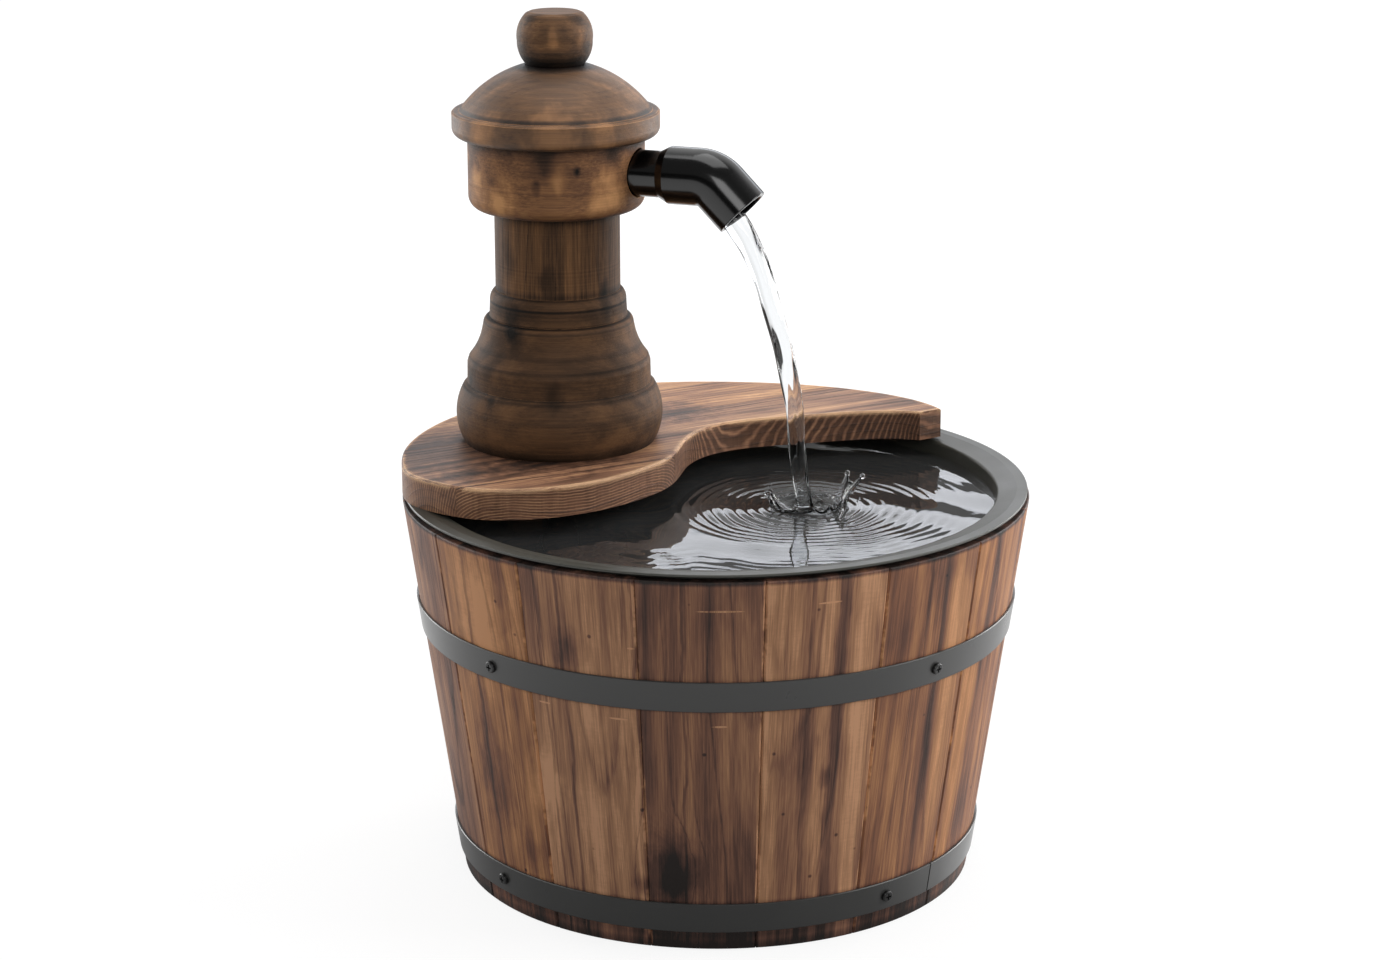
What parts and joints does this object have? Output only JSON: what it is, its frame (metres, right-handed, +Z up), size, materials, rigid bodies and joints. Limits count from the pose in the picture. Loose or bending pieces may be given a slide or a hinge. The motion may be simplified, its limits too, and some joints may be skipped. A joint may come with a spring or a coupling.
{
  "type": "wooden garden fountain",
  "caption": "Half-barrel garden fountain: coopered tub with steel hoops and a lift-out liner, wavy board and turned tower over a pump, bent spout pouring into the pool.",
  "frame": {"origin": "middle of the barrel's foot, on the ground", "axes": "+Z up, +X the way the spout points over the water"},
  "size_m": [0.3398, 0.3398, 0.4649],
  "materials": {
    "stave_wood": "scorched softwood, clear matt oil",
    "floor_wood": "planed softwood",
    "hoop_steel": "dark grey satin enamel",
    "screw_steel": "blackened",
    "liner_plastic": "moulded, slight sheen",
    "board_wood": "scorched softwood, clear matt oil",
    "tower_wood": "turned softwood, dark matt oil",
    "dowel_wood": "plain hardwood",
    "pipe_plastic": "moulded gloss",
    "hose_plastic": "soft extruded",
    "pump_plastic": "moulded, fine texture",
    "dial_plastic": "moulded",
    "impeller_plastic": "moulded",
    "seal_rubber": "moulded",
    "shaft_steel": "ground",
    "magnet": "sintered",
    "water": "clear, with ripples; drawn only, no solid"
  },
  "bodies": {
    "barrel": {"stave_01": "stave_wood", "stave_02": "stave_wood", "stave_03": "stave_wood", "stave_04": "stave_wood", "stave_05": "stave_wood", "stave_06": "stave_wood", "stave_07": "stave_wood", "stave_08": "stave_wood", "stave_09": "stave_wood", "stave_10": "stave_wood", "stave_11": "stave_wood", "stave_12": "stave_wood", "stave_13": "stave_wood", "stave_14": "stave_wood", "stave_15": "stave_wood", "stave_16": "stave_wood", "floor_plank_1": "floor_wood", "floor_plank_2": "floor_wood", "floor_plank_3": "floor_wood", "hoop_upper": "hoop_steel", "hoop_lower": "hoop_steel", "hoop_upper_screws": "screw_steel", "hoop_lower_screws": "screw_steel"},
    "liner": {"liner": "liner_plastic"},
    "top": {"board_front_plank": "board_wood", "board_middle_plank": "board_wood", "board_rear_plank": "board_wood", "batten_front": "board_wood", "batten_rear": "board_wood", "board_dowels": "dowel_wood", "batten_screws": "screw_steel", "tower_screws": "screw_steel", "tower_base": "tower_wood", "tower_column": "tower_wood", "tower_head": "tower_wood", "tower_cap": "tower_wood", "tower_knob": "tower_wood", "cap_dowels": "dowel_wood", "knob_dowel": "dowel_wood", "spout_pipe": "pipe_plastic", "riser_elbow": "pipe_plastic", "riser_hose": "hose_plastic", "pump_housing": "pump_plastic", "pump_chamber": "pump_plastic", "chamber_seal": "seal_rubber", "impeller_shaft": "shaft_steel", "suction_cups": "seal_rubber", "cable_gland": "seal_rubber"},
    "spout": {"spout_elbow": "pipe_plastic"},
    "impeller": {"impeller": "impeller_plastic", "rotor_magnet": "magnet"},
    "strainer": {"strainer_cover": "pump_plastic"},
    "dial": {"flow_dial": "dial_plastic"}
  },
  "joints": [
    {"name": "liner_lift", "type": "slide", "parent": "barrel", "child": "liner", "axis": [0, 0, 1], "range_m": [0, 0.19]},
    {"name": "top_lift", "type": "slide", "parent": "liner", "child": "top", "axis": [0, 0, 1], "range_m": [0, 0.19]},
    {"name": "spout_swivel", "type": "hinge", "parent": "top", "child": "spout", "pos_m": [-0.02, 0, 0.3808], "axis": [1, 0, 0], "range_deg": [-30, 30]},
    {"name": "impeller_spin", "type": "hinge", "parent": "top", "child": "impeller", "pos_m": [-0.0915, 0, 0.061], "axis": [0, 1, 0], "continuous": true},
    {"name": "strainer_pull", "type": "slide", "parent": "top", "child": "strainer", "axis": [0, -1, 0], "range_m": [0, 0.02]},
    {"name": "flow_dial_turn", "type": "hinge", "parent": "strainer", "child": "dial", "pos_m": [-0.0915, -0.023, 0.061], "axis": [0, 1, 0], "range_deg": [0, 45]}
  ]
}
